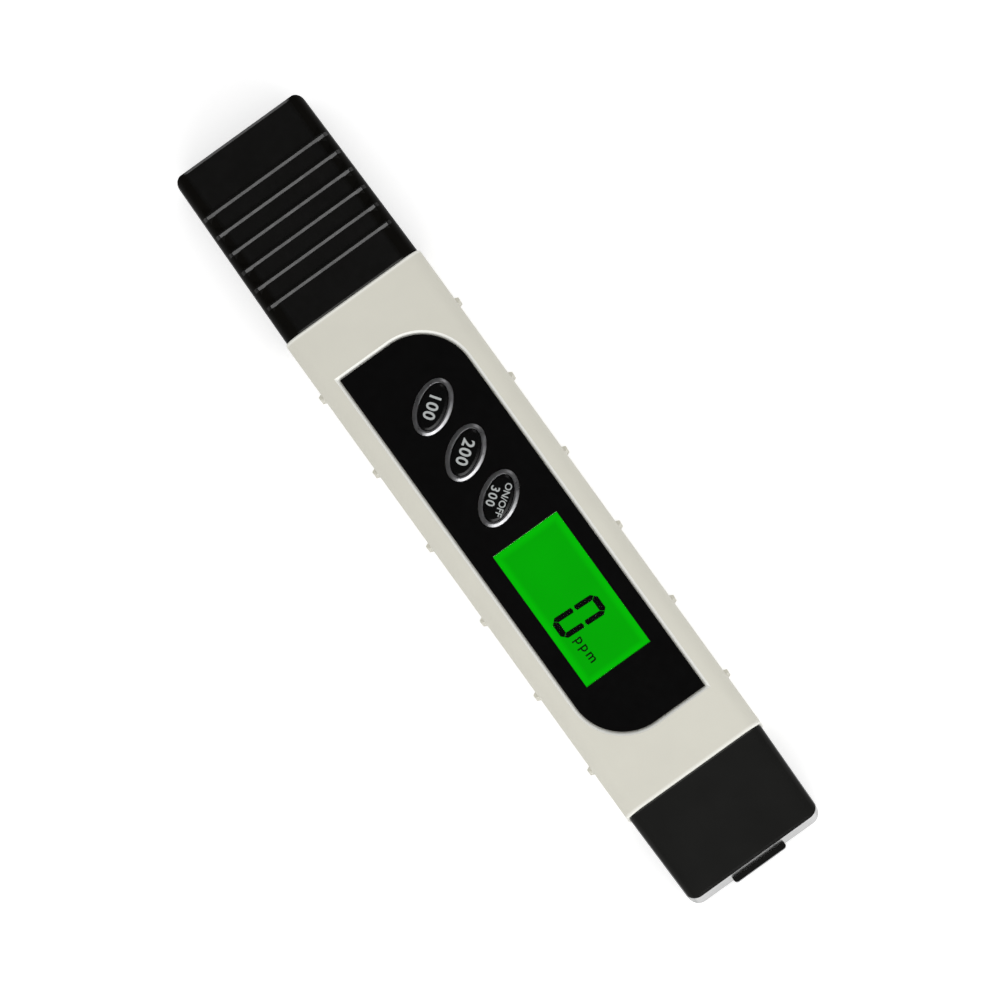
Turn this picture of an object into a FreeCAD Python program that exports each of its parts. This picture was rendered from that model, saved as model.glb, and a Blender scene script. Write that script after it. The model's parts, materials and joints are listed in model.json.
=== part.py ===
import FreeCAD, Part
import math
import os
import re
import Sketcher
from FreeCAD import Vector

# A pocket meter for total dissolved solids in water, lying on its back.
# Origin: centre of the housing's back face. +X runs along the pen to the battery end,
# +Y is up in the display's reading direction, +Z comes out of the face.

doc = FreeCAD.newDocument("DissolvedSolidsMeter")

# Driving dimensions in millimetres and degrees
size_rows = [
    ("body_length", 101.5, "housing shells from end to end"),
    ("body_width", 28.5, "housing across"),
    ("body_height", 14.5, "housing from back to face"),
    ("body_round", 3.0, "radius of the four long edges"),
    ("wall", 1.6, "wall of the shells and caps"),
    ("edge_break", 0.25, "chamfer where shells and caps meet"),
    ("lap_height", 1.2, "lip that laps the two shells"),
    ("lap_thick", 0.7, "thickness of that lip"),
    ("lap_gap", 0.1, "clearance round the lip"),
    ("catch_length", 4.0, "snap catch along the lip"),
    ("catch_proud", 0.3, "snap catch out of the lip"),
    ("catch_pitch", 30.0, "snap catches along the pen"),
    ("flange_inset", 3.0, "housing end to the end fittings' flange"),
    ("flange_thick", 1.6, "flange of the end fittings"),
    ("flange_proud", 0.7, "flange into the shell wall"),
    ("fit_gap", 0.1, "clearance of pieces held between the shells"),
    ("nub_root", 0.8, "half width of a grip nub where it leaves the side"),
    ("nub_tip", 0.25, "half width of its outer face"),
    ("nub_proud", 0.65, "nub out of the side"),
    ("nub_height", 7.5, "nub from back to face"),
    ("nub_pitch", 15.94, "nubs along the side"),
    ("nub_count", 6, "nubs on each side"),
    ("panel_length", 80.0, "black face panel along the pen"),
    ("panel_width", 20.3, "black face panel across"),
    ("panel_round", 9.8, "the panel's two round corners"),
    ("panel_thick", 0.5, "face panel"),
    ("panel_gap", 0.1, "clearance round the panel"),
    ("recess_depth", 0.65, "panel recess in the face"),
    ("rim", 0.6, "sloped rim of the recess"),
    ("window_x", 14.34, "display centre along the pen"),
    ("window_y", 0.2, "display centre across"),
    ("window_length", 27.7, "clear window along the pen"),
    ("window_width", 13.3, "clear window across"),
    ("window_gap", 0.1, "clearance round the window"),
    ("window_lip", 1.2, "window lip under the face"),
    ("window_lip_thick", 0.8, "thickness of that lip"),
    ("key_first_x", -26.79, "first key along the pen"),
    ("key_pitch", 9.78, "key to key"),
    ("key_y", 0.2, "keys across"),
    ("key_tilt", -55.6, "long axis of the keys from +X"),
    ("ring_long", 5.25, "half length of the ring round a key"),
    ("ring_short", 3.3, "half width of the ring"),
    ("ring_wide", 0.85, "width of the ring's rim"),
    ("ring_proud", 0.4, "ring above the panel"),
    ("ring_slope", 0.55, "the ring's outer slope, seen from above"),
    ("ring_rise", 0.32, "height of that slope"),
    ("ring_gap", 0.05, "clearance of ring in panel"),
    ("key_gap", 0.12, "clearance round a key"),
    ("key_proud", 0.55, "key above the panel"),
    ("key_dome", 0.45, "the key's rounded edge, seen from above"),
    ("key_dome_high", 0.25, "height of that edge"),
    ("key_lip", 0.55, "lip that keeps the key in, past each end"),
    ("key_lip_half", 1.4, "half width of that lip"),
    ("key_lip_thick", 0.8, "thickness of that lip"),
    ("key_travel", 0.3, "travel of a key"),
    ("switch_size", 6.2, "tact switch, square"),
    ("switch_height", 2.2, "tact switch body"),
    ("plunger_size", 3.0, "square shaft of a switch"),
    ("plunger_gap", 0.1, "clearance round the shaft"),
    ("plunger_root", 0.6, "plunger inside the switch body"),
    ("board_thick", 1.0, "circuit board"),
    ("board_short_left", 6.75, "housing end to the board at the probe"),
    ("board_short_right", 5.25, "housing end to the board at the cells"),
    ("board_gap", 0.35, "board to the side walls"),
    ("boss_inset_left", 12.75, "housing end to the bosses at the probe"),
    ("boss_inset_right", 10.75, "housing end to the bosses at the cells"),
    ("boss_y", 8.5, "screw bosses from the middle"),
    ("boss_radius", 2.2, "screw boss"),
    ("post_x", 22.0, "board posts from the middle"),
    ("post_y", 10.0, "board posts across"),
    ("post_size", 2.6, "board post, square"),
    ("screw_radius", 0.85, "screw shank"),
    ("screw_gap", 0.05, "clearance of the shank"),
    ("screw_reach", 4.0, "shank in the boss"),
    ("screw_free", 0.5, "pilot hole past the screw's end"),
    ("board_hole_gap", 0.15, "board's holes round the shank"),
    ("screw_head_radius", 1.8, "screw head"),
    ("screw_head_high", 1.1, "screw head height"),
    ("lcd_length", 31.5, "display glass along the pen"),
    ("lcd_width", 19.5, "front display glass across"),
    ("lcd_ledge", 2.5, "contact ledge of the front glass"),
    ("lcd_thick", 0.9, "each display glass"),
    ("lcd_clear", 0.1, "display under the window lip"),
    ("guide_inset", 0.5, "backlight guide inside the rear glass"),
    ("diffuser_thick", 0.3, "diffuser sheet"),
    ("frame_wall", 1.4, "wall of the display frame"),
    ("zebra_wide", 1.4, "conductive strip across"),
    ("zebra_short", 3.5, "conductive strip shorter than the glass"),
    ("led_long", 2.8, "backlight lamp across the pen"),
    ("led_wide", 1.2, "backlight lamp along the pen"),
    ("led_high", 1.8, "backlight lamp height"),
    ("led_gap", 0.15, "clearance of the lamp in the guide"),
    ("probe_cap_length", 34.6, "ribbed cap over the probe"),
    ("probe_cap_taper", 0.92, "draft of the ribbed cap"),
    ("battery_cap_length", 18.4, "cap over the cells"),
    ("battery_cap_taper", 0.9, "draft of the battery cap"),
    ("cap_step", 0.35, "caps narrower than the housing, on each side"),
    ("probe_cap_corner", 1.6, "plan corners of the ribbed cap"),
    ("battery_cap_corner", 2.1, "plan corners of the battery cap"),
    ("end_edge", 0.5, "edge of the caps' flat ends"),
    ("cap_gap", 0.15, "clearance between cap and neck"),
    ("cap_joint", 0.05, "gap between cap and housing"),
    ("rib_count", 6, "grip ribs on the ribbed cap"),
    ("rib_first", 6.9, "housing to first grip rib"),
    ("rib_pitch", 3.81, "grip rib to grip rib"),
    ("rib_root", 1.85, "half width of a rib at its sunk root"),
    ("rib_tip", 0.08, "half width of its crest"),
    ("rib_high", 0.3, "rib above the surface"),
    ("rib_sink", 0.8, "rib into the cap's rounded sides"),
    ("rib_length", 24.8, "grip rib across the pen"),
    ("pull_width", 10.9, "pull lip on the battery cap's end"),
    ("pull_proud", 0.85, "pull lip out of the end"),
    ("pull_low", 1.4, "pull lip above the back"),
    ("pull_high", 3.4, "top of the pull lip"),
    ("pull_round", 0.6, "corners of the pull lip"),
    ("neck_length", 8.0, "neck that the ribbed cap grips"),
    ("neck_hollow", 8.5, "hollow inside the probe fitting"),
    ("neck_wall", 2.5, "wall round that hollow"),
    ("seal_at", 3.6, "housing end to the seal"),
    ("seal_wide", 1.2, "rubber seal along the pen"),
    ("seal_depth", 0.8, "seal groove in the neck"),
    ("seal_gap", 0.08, "seal to the cap"),
    ("probe_width", 15.0, "probe across"),
    ("probe_height", 8.0, "probe from back to face"),
    ("probe_round", 2.4, "long edges of the probe"),
    ("probe_length", 12.25, "neck to the pins' face"),
    ("guard_length", 6.0, "side guards past that face"),
    ("guard_thick", 1.6, "side guard"),
    ("pin_radius", 0.75, "measuring pin"),
    ("pin_pitch", 8.0, "pin to pin"),
    ("pin_out", 5.0, "pin out of the probe's face"),
    ("pin_on_board", 2.6, "pin's tail on the board"),
    ("bore_gap", 0.02, "clearance of moulded-in pins"),
    ("sensor_radius", 1.5, "temperature sensor"),
    ("sensor_out", 4.4, "sensor out of the probe's face"),
    ("sensor_root", 9.0, "sensor inside the probe"),
    ("lead_size", 0.5, "sensor lead, square"),
    ("lead_pitch", 1.2, "lead to lead"),
    ("cell_radius", 5.8, "button cell"),
    ("cell_height", 5.4, "button cell height"),
    ("cell_pitch", 11.75, "cell to cell"),
    ("cell_gap", 0.1, "clearance round a cell"),
    ("cell_out", 9.25, "housing end to the cells' centres"),
    ("cell_face", 4.6, "radius of the negative face"),
    ("tray_length", 16.3, "tray out of the housing"),
    ("tray_lip", 0.4, "tray above the cells"),
    ("tray_step", 2.0, "full neck before the tray is cut down"),
    ("contact_thick", 0.3, "contact strip"),
    ("contact_width", 3.0, "contact strip across"),
    ("contact_drop", 1.3, "tray floor under the board"),
    ("contact_gap", 0.1, "clearance of the strips"),
    ("contact_tail", 2.2, "strip under the board"),
    ("contact_rise", 4.0, "side contacts up the cells"),
    ("chip_size", 9.0, "controller chip, square"),
    ("chip_high", 1.4, "controller chip height"),
    ("amp_long", 5.0, "amplifier chip along the pen"),
    ("amp_wide", 4.0, "amplifier chip across"),
    ("amp_high", 1.5, "amplifier chip height"),
    ("chip_cut", 0.45, "cut corners of the chips"),
    ("amp_x", 8.0, "bosses to the amplifier chip"),
    ("crystal_gap", 2.0, "controller chip to the crystal"),
    ("crystal_radius", 1.0, "timing crystal"),
    ("crystal_long", 6.0, "timing crystal length"),
    ("passive_long", 2.0, "small board parts across"),
    ("passive_wide", 1.25, "small board parts along"),
    ("passive_pitch", 4.0, "small board parts along the pen"),
    ("resistor_high", 0.6, "resistors"),
    ("resistor_x", -18.0, "first resistor along the pen"),
    ("capacitor_high", 1.1, "capacitors"),
    ("capacitor_x", -16.0, "first capacitor along the pen"),
]
sizes = doc.addObject("Spreadsheet::Sheet", "Sizes")
for row, (alias, number, note) in enumerate(size_rows, 1):
    sizes.set(f"A{row}", note)
    sizes.set(f"B{row}", str(number))
    sizes.setAlias(f"B{row}", alias)
doc.recompute()

# Places worked out from the driving dimensions
place_rows = [
    ("half_length", "body_length / 2"),
    ("half_width", "body_width / 2"),
    ("parting", "body_height / 2"),
    ("inner_half", "half_width - wall"),
    ("cap_half", "half_width - cap_step"),
    ("ceiling", "body_height - wall"),
    ("groove_depth", "flange_proud + fit_gap"),
    ("flange_out", "half_length - flange_inset"),
    ("flange_in", "flange_out - flange_thick"),
    ("recess_floor", "body_height - recess_depth"),
    ("panel_top", "recess_floor + panel_thick"),
    ("board_top", "parting - pin_radius"),
    ("board_under", "board_top - board_thick"),
    ("board_half", "inner_half - board_gap"),
    ("board_left", "board_short_left - half_length"),
    ("board_right", "half_length - board_short_right"),
    ("boss_left", "boss_inset_left - half_length"),
    ("boss_right", "half_length - boss_inset_right"),
    ("cell_x", "half_length + cell_out"),
    ("key_long", "ring_long - ring_wide - key_gap"),
    ("key_short", "ring_short - ring_wide - key_gap"),
    ("key_lip_top", "ceiling - key_travel / 3"),
    ("key_lip_low", "key_lip_top - key_lip_thick"),
    ("switch_top", "board_top + switch_height"),
    ("lcd_top", "ceiling - window_lip_thick - lcd_clear"),
    ("lcd_middle", "lcd_top - lcd_thick"),
    ("lcd_under", "lcd_middle - lcd_thick"),
    ("guide_top", "lcd_under - diffuser_thick"),
    ("lcd_left", "window_x - lcd_length / 2"),
    ("lcd_right", "window_x + lcd_length / 2"),
    ("lcd_low", "window_y - lcd_width / 2"),
    ("lcd_high", "window_y + lcd_width / 2"),
    ("rear_low", "lcd_low + lcd_ledge"),
    ("zebra_y", "(lcd_low + rear_low - lcd_clear) / 2"),
    ("neck_half_wide", "inner_half - cap_gap"),
    ("neck_half_high", "parting - wall - cap_gap"),
    ("neck_round", "body_round - wall - cap_gap"),
    ("neck_end", "half_length + neck_length"),
    ("probe_face", "neck_end + probe_length"),
    ("tray_end", "half_length + tray_length"),
    ("tray_floor", "board_under - contact_drop"),
    ("cell_low", "tray_floor + contact_thick"),
    ("cell_top", "cell_low + cell_height"),
    ("cell_well", "cell_radius + cell_gap"),
]
places = doc.addObject("App::VarSet", "Places")
size_names = {alias for alias, number, note in size_rows}
place_names = {name for name, formula in place_rows}


def named(formula):
    """The formula with each size and place found in its sheet or set."""
    def owner(match):
        word = match.group(0)
        if word in size_names:
            return "Sizes." + word
        if word in place_names:
            return "Places." + word
        return word
    return re.sub(r"[a-z][a-z_0-9]*", owner, str(formula))


def bind(thing, **formulas):
    """Binds properties of one object to the sizes. A double underscore stands for a dot."""
    for key, formula in formulas.items():
        thing.setExpression(key.replace("__", "."), named(formula))


for name, formula in place_rows:
    places.addProperty("App::PropertyFloat", name, "Places")
    places.setExpression(name, named(formula).replace("Places.", ""))
answers = doc.addObject("App::VarSet", "Answers")
answers.addProperty("App::PropertyFloat", "answer", "Places")
doc.recompute()


def number(formula):
    """The value that a formula of sizes and places has now."""
    bind(answers, answer=formula)
    answers.recompute()
    return answers.answer


def near(a, b):
    return abs(a - b) < 1e-4


def runs_along(edge, axis):
    """True for a straight edge along x, y or z, give or take a moulding's draft."""
    way = edge.Vertexes[-1].Point - edge.Vertexes[0].Point
    is_straight = way.Length > 0.999 * edge.Length
    return is_straight and abs(getattr(way, axis)) > 0.99 * way.Length


class Piece:
    """One sub-part as a body: sketches, pads, pockets and edge features by short calls."""

    def __init__(self, label):
        self.body = doc.addObject("PartDesign::Body", label)
        self.body.Label = label
        self.planes = {plane.Role: plane for plane in self.body.Origin.OriginFeatures}

    def sketch(self, plane, at="0"):
        """A sketch on an origin plane, moved along that plane's normal."""
        made = self.body.newObject("Sketcher::SketchObject", self.body.Name + "Sketch")
        made.AttachmentSupport = [(self.planes[plane + "_Plane"], "")]
        made.MapMode = "FlatFace"
        bind(made, AttachmentOffset__Base__z=at)
        return made

    def add(self, kind, **formulas):
        feature = self.body.newObject("PartDesign::" + kind, self.body.Name + kind)
        bind(feature, **formulas)
        return feature

    def pad(self, sketch, length, both=False, back=False, draft=None):
        """Material along the sketch's normal, or both ways, or against the normal."""
        feature = self.add("Pad", Length=length)
        feature.Profile = sketch
        feature.SideType = "Symmetric" if both else "One side"
        feature.Reversed = back
        if draft:
            bind(feature, TaperAngle=draft)
        sketch.Visibility = False
        return feature

    def pocket(self, sketch, length=None, both=False, back=False):
        """A cut against the sketch's normal, or along it with back, or right through."""
        feature = self.add("Pocket")
        feature.Profile = sketch
        feature.SideType = "Symmetric" if both else "One side"
        feature.Reversed = back
        if length is None:
            feature.Type = "ThroughAll"
        else:
            bind(feature, Length=length)
        doc.recompute()
        return feature

    def loft(self, kind, near_end, far_end):
        """Material or a hollow with straight sides from one outline to another."""
        feature = self.add(kind)
        feature.Profile = near_end
        feature.Sections = [far_end]
        feature.Ruled = True
        near_end.Visibility = far_end.Visibility = False
        doc.recompute()

    def edges(self, wanted):
        doc.recompute()
        shape = self.body.Tip.Shape
        return [f"Edge{n}" for n, edge in enumerate(shape.Edges, 1) if wanted(edge)]

    def fillet(self, radius, wanted):
        names = self.edges(wanted)
        base = self.body.Tip
        feature = self.add("Fillet", Radius=radius)
        feature.Base = (base, names)
        doc.recompute()

    def chamfer(self, width, wanted):
        names = self.edges(wanted)
        base = self.body.Tip
        feature = self.add("Chamfer", Size=width)
        feature.Base = (base, names)
        doc.recompute()

    def row(self, feature, length, count):
        """Repeats a feature along X over a length."""
        pattern = self.add("LinearPattern", Length=length, Occurrences=count)
        pattern.Originals = [feature]
        pattern.Direction = (self.body.Origin.OriginFeatures[0], [""])
        self.body.Tip = pattern
        doc.recompute()


def constrain(sketch, kind, formula, *where):
    row = sketch.addConstraint(Sketcher.Constraint(kind, *where, number(formula)))
    sketch.setExpression(f"Constraints[{row}]", named(formula))


def polygon(sketch, corners):
    """A closed outline of straight lines through corners given as formulas."""
    first = sketch.GeometryCount
    count = len(corners)
    points = [Vector(number(across), number(up), 0) for across, up in corners]
    for i in range(count):
        sketch.addGeometry(Part.LineSegment(points[i], points[(i + 1) % count]), False)
    for i in range(count):
        after = first + (i + 1) % count
        sketch.addConstraint(Sketcher.Constraint("Coincident", first + i, 2, after, 1))
    for i, (across, up) in enumerate(corners):
        constrain(sketch, "DistanceX", across, -1, 1, first + i, 1)
        constrain(sketch, "DistanceY", up, -1, 1, first + i, 1)


def rectangle(sketch, left, right, low, high):
    polygon(sketch, [(left, low), (right, low), (right, high), (left, high)])


def rounded(sketch, left, right, low, high, radius):
    """A rectangle whose four corners are arcs of one radius."""
    a, b, c, d, r = (number(f) for f in (left, right, low, high, radius))
    first = sketch.GeometryCount
    sides = [((a + r, c), (b - r, c)), ((b, c + r), (b, d - r)),
             ((b - r, d), (a + r, d)), ((a, d - r), (a, c + r))]
    centres = [(b - r, c + r), (b - r, d - r), (a + r, d - r), (a + r, c + r)]
    for i in range(4):
        ends = [Vector(x, y, 0) for x, y in sides[i]]
        sketch.addGeometry(Part.LineSegment(*ends), False)
        bend = Part.Circle(Vector(*centres[i], 0), Vector(0, 0, 1), r)
        start = (i - 1) * math.pi / 2
        sketch.addGeometry(Part.ArcOfCircle(bend, start, start + math.pi / 2), False)
    for i in range(4):
        line, arc = first + 2 * i, first + 2 * i + 1
        after = first + (2 * i + 2) % 8
        sketch.addConstraint(Sketcher.Constraint("Tangent", line, 2, arc, 1))
        sketch.addConstraint(Sketcher.Constraint("Tangent", arc, 2, after, 1))
        way = "Horizontal" if i % 2 == 0 else "Vertical"
        sketch.addConstraint(Sketcher.Constraint(way, line))
        if i:
            sketch.addConstraint(Sketcher.Constraint("Equal", first + 1, arc))
    constrain(sketch, "Radius", radius, first + 1)
    constrain(sketch, "DistanceY", low, -1, 1, first, 1)
    constrain(sketch, "DistanceX", right, -1, 1, first + 2, 1)
    constrain(sketch, "DistanceY", high, -1, 1, first + 4, 1)
    constrain(sketch, "DistanceX", left, -1, 1, first + 6, 1)


def cut_corners(sketch, half, low, high, cut):
    """A rectangle about the middle plane with its four corners cut at 45 degrees."""
    polygon(sketch, [(f"-({half}) + {cut}", low), (f"{half} - {cut}", low),
                     (half, f"{low} + {cut}"), (half, f"{high} - {cut}"),
                     (f"{half} - {cut}", high), (f"-({half}) + {cut}", high),
                     (f"-({half})", f"{high} - {cut}"), (f"-({half})", f"{low} + {cut}")])


def circle(sketch, across, up, radius):
    centre = Vector(number(across), number(up), 0)
    outline = Part.Circle(centre, Vector(0, 0, 1), number(radius))
    drawn = sketch.addGeometry(outline, False)
    constrain(sketch, "DistanceX", across, -1, 1, drawn, 3)
    constrain(sketch, "DistanceY", up, -1, 1, drawn, 3)
    constrain(sketch, "Radius", radius, drawn)


def ellipse(sketch, across, up, long, short, tilt):
    """An ellipse with its long axis turned by tilt degrees from the sketch's first axis."""
    turn = FreeCAD.Rotation(Vector(0, 0, 1), number(tilt))
    centre = Vector(number(across), number(up), 0)
    outline = Part.Ellipse(centre + turn.multVec(Vector(number(long), 0, 0)),
                           centre + turn.multVec(Vector(0, number(short), 0)), centre)
    drawn = sketch.addGeometry(outline, False)
    sketch.exposeInternalGeometry(drawn)
    constrain(sketch, "DistanceX", across, -1, 1, drawn, 3)
    constrain(sketch, "DistanceY", up, -1, 1, drawn, 3)
    constrain(sketch, "Distance", f"2 * ({long})", drawn + 1)
    constrain(sketch, "Distance", f"2 * ({short})", drawn + 2)
    axis = sketch.Geometry[drawn + 1]
    way = axis.EndPoint - axis.StartPoint
    bearing = math.atan2(way.y, way.x)
    turned = sketch.addConstraint(Sketcher.Constraint("Angle", drawn + 1, bearing))
    half_turn = round((math.degrees(bearing) - number(tilt)) / 180) * 180
    sketch.setExpression(f"Constraints[{turned}]", named(f"({tilt} + {half_turn}) * 1 deg"))


def turned_rectangle(sketch, across, up, long, short, tilt):
    """A rectangle about a centre, its long side turned by tilt degrees."""
    turn = f"({tilt}) * 1 deg"
    corners = []
    for a, b in ((-1, -1), (1, -1), (1, 1), (-1, 1)):
        corners.append((f"{across} + {a} * ({long}) * cos({turn}) - {b} * ({short}) * sin({turn})",
                        f"{up} + {a} * ({long}) * sin({turn}) + {b} * ({short}) * cos({turn})"))
    polygon(sketch, corners)


def plate(label, left, right, low, high, base, thick):
    """A flat rectangular piece."""
    piece = Piece(label)
    outline = piece.sketch("XY", base)
    rectangle(outline, left, right, low, high)
    piece.pad(outline, thick)
    return piece


key_names = ["mode", "clear", "power"]
key_places = [f"key_first_x + {i} * key_pitch" for i in range(len(key_names))]
screw_places = [("boss_left", "-boss_y"), ("boss_right", "boss_y")]
rest_places = [("boss_left", "boss_y"), ("boss_right", "-boss_y")]


def half_shell(label, low, high, face, inner_low, inner_high, inner_face):
    """A trough with rounded long edges, open at both ends."""
    shell = Piece(label)
    outer = shell.sketch("YZ")
    rectangle(outer, "-half_width", "half_width", low, high)
    shell.pad(outer, "body_length", both=True)
    shell.fillet("body_round", lambda e: runs_along(e, "x") and near(e.CenterOfMass.z, face))
    inner = shell.sketch("YZ")
    rectangle(inner, "-inner_half", "inner_half", inner_low, inner_high)
    shell.pocket(inner, both=True)
    shell.fillet("body_round - wall",
                 lambda e: runs_along(e, "x") and near(e.CenterOfMass.z, inner_face)
                 and near(abs(e.CenterOfMass.y), places.inner_half))
    shell.chamfer("edge_break",
                  lambda e: near(abs(e.CenterOfMass.x), places.half_length)
                  and is_outer_rim(e, places.half_width))
    return shell


def is_outer_rim(edge, half):
    """Edges of an open end that lie on the outside of a shell or cap this far from the middle."""
    box = edge.BoundBox
    at_side = near(max(abs(box.YMin), abs(box.YMax)), half)
    at_face = near(box.ZMax, sizes.body_height) or near(box.ZMin, 0)
    return at_side or at_face


def flange_grooves(shell):
    """The slots near both ends that hold the end fittings' flanges."""
    for side in (-1, 1):
        outline = shell.sketch("YZ", f"{side} * (flange_in - fit_gap)")
        cut_corners(outline, "inner_half + groove_depth", "wall - groove_depth",
                    "ceiling + groove_depth", "(body_round - wall)")
        shell.pocket(outline, "flange_thick + 2 * fit_gap", back=side > 0)


def grip_nubs(shell, base):
    """A row of upright nubs on each side."""
    outline = shell.sketch("XY", base)
    first = "-nub_pitch * (nub_count - 1) / 2"
    for side in (-1, 1):
        root, tip = f"{side} * (half_width - nub_proud)", f"{side} * (half_width + nub_proud)"
        polygon(outline, [(f"{first} - nub_root", root), (f"{first} + nub_root", root),
                          (f"{first} + nub_tip", tip), (f"{first} - nub_tip", tip)])
    nub = shell.pad(outline, "nub_height / 2")
    shell.row(nub, "nub_pitch * (nub_count - 1)", "nub_count")


def catch_outline(sketch, extra):
    """Snap catches seen along the pen, one on each side of the lip."""
    middle = "parting + lap_height / 2"
    for side in (-1, 1):
        root = f"{side} * (inner_half + lap_thick - lap_gap)"
        tip = f"{side} * (inner_half + lap_thick + catch_proud + {extra})"
        polygon(sketch, [(root, f"{middle} - catch_proud - {extra}"),
                         (tip, f"{middle} - catch_proud / 3 - {extra}"),
                         (tip, f"{middle} + catch_proud / 3 + {extra}"),
                         (root, f"{middle} + catch_proud + {extra}")])


def front_shell():
    shell = half_shell("front_shell", "parting", "body_height", sizes.body_height,
                       "parting", "ceiling", places.ceiling)
    rebate = shell.sketch("YZ")
    reach = "inner_half + lap_thick + lap_gap"
    rectangle(rebate, f"-({reach})", reach, "parting", "parting + lap_height + lap_gap")
    shell.pocket(rebate, both=True)
    for side in (-1, 1):
        pockets = shell.sketch("YZ", f"{side} * catch_pitch / 2 + (catch_length + lap_gap * 2) / 2")
        catch_outline(pockets, "lap_gap")
        shell.pocket(pockets, "catch_length + lap_gap * 2")
    flange_grooves(shell)

    recess = shell.sketch("XY", "body_height")
    rectangle(recess, "-panel_length / 2 - panel_gap", "panel_length / 2 + panel_gap",
              "-panel_width / 2 - panel_gap", "panel_width / 2 + panel_gap")
    shell.pocket(recess, "recess_depth")
    shell.fillet("panel_round + panel_gap",
                 lambda e: runs_along(e, "z") and e.CenterOfMass.z > places.recess_floor
                 and abs(e.CenterOfMass.y) < places.inner_half
                 and e.CenterOfMass.x * e.CenterOfMass.y < 0)
    reach_x, reach_y = number("panel_length / 2 + panel_gap"), number("panel_width / 2 + panel_gap")
    shell.chamfer("rim",
                  lambda e: near(e.BoundBox.ZMin, sizes.body_height)
                  and max(abs(e.CenterOfMass.x) - reach_x, abs(e.CenterOfMass.y) - reach_y) < 1e-3)

    holes = shell.sketch("XY", "body_height")
    for x in key_places:
        ellipse(holes, x, "key_y", "ring_long - ring_wide", "ring_short - ring_wide", "key_tilt")
    shell.pocket(holes, "wall + lap_height")
    window = shell.sketch("XY", "body_height")
    rectangle(window, "window_x - window_length / 2 - window_gap",
              "window_x + window_length / 2 + window_gap",
              "window_y - window_width / 2 - window_gap",
              "window_y + window_width / 2 + window_gap")
    shell.pocket(window, "wall + lap_height")

    bosses = shell.sketch("XY", "board_top")
    for x, y in screw_places:
        circle(bosses, x, y, "boss_radius")
    for x, y in rest_places:
        rectangle(bosses, f"{x} - post_size / 2", f"{x} + post_size / 2",
                  f"{y} - post_size / 2", f"{y} + post_size / 2")
    shell.pad(bosses, "ceiling - board_top")
    pilots = shell.sketch("XY", "board_top")
    for x, y in screw_places:
        circle(pilots, x, y, "screw_radius + screw_gap")
    shell.pocket(pilots, "screw_reach + screw_free", back=True)
    grip_nubs(shell, "parting")


def rear_shell():
    shell = half_shell("rear_shell", "0", "parting", 0, "wall", "parting", sizes.wall)
    lips = shell.sketch("YZ")
    for side in (-1, 1):
        rectangle(lips, f"{side} * inner_half", f"{side} * (inner_half + lap_thick)",
                  "parting - wall", "parting + lap_height")
    shell.pad(lips, "body_length - 2 * edge_break", both=True)
    for side in (-1, 1):
        catches = shell.sketch("YZ", f"{side} * catch_pitch / 2")
        catch_outline(catches, "0")
        shell.pad(catches, "catch_length", both=True)
    flange_grooves(shell)
    posts = shell.sketch("XY", "wall")
    for x in ("-post_x", "post_x"):
        for y in ("-post_y", "post_y"):
            rectangle(posts, f"{x} - post_size / 2", f"{x} + post_size / 2",
                      f"{y} - post_size / 2", f"{y} + post_size / 2")
    shell.pad(posts, "board_under - wall")
    grip_nubs(shell, "parting - nub_height / 2")


def face_panel():
    panel = plate("face_panel", "-panel_length / 2", "panel_length / 2",
                  "-panel_width / 2", "panel_width / 2",
                  "recess_floor", "panel_thick")
    panel.fillet("panel_round", lambda e: runs_along(e, "z")
                 and e.CenterOfMass.x * e.CenterOfMass.y < 0)
    holes = panel.sketch("XY", "panel_top")
    for x in key_places:
        ellipse(holes, x, "key_y", "ring_long + ring_gap", "ring_short + ring_gap", "key_tilt")
    panel.pocket(holes)
    window = panel.sketch("XY", "panel_top")
    rectangle(window, "window_x - window_length / 2 - window_gap",
              "window_x + window_length / 2 + window_gap",
              "window_y - window_width / 2 - window_gap",
              "window_y + window_width / 2 + window_gap")
    panel.pocket(window)


def display_window():
    window = plate("display_window", "window_x - window_length / 2 - window_lip",
                   "window_x + window_length / 2 + window_lip",
                   "window_y - window_width / 2 - window_lip",
                   "window_y + window_width / 2 + window_lip",
                   "ceiling - window_lip_thick", "window_lip_thick")
    clear = window.sketch("XY", "ceiling")
    rectangle(clear, "window_x - window_length / 2", "window_x + window_length / 2",
              "window_y - window_width / 2", "window_y + window_width / 2")
    window.pad(clear, "panel_top - ceiling")


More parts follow.
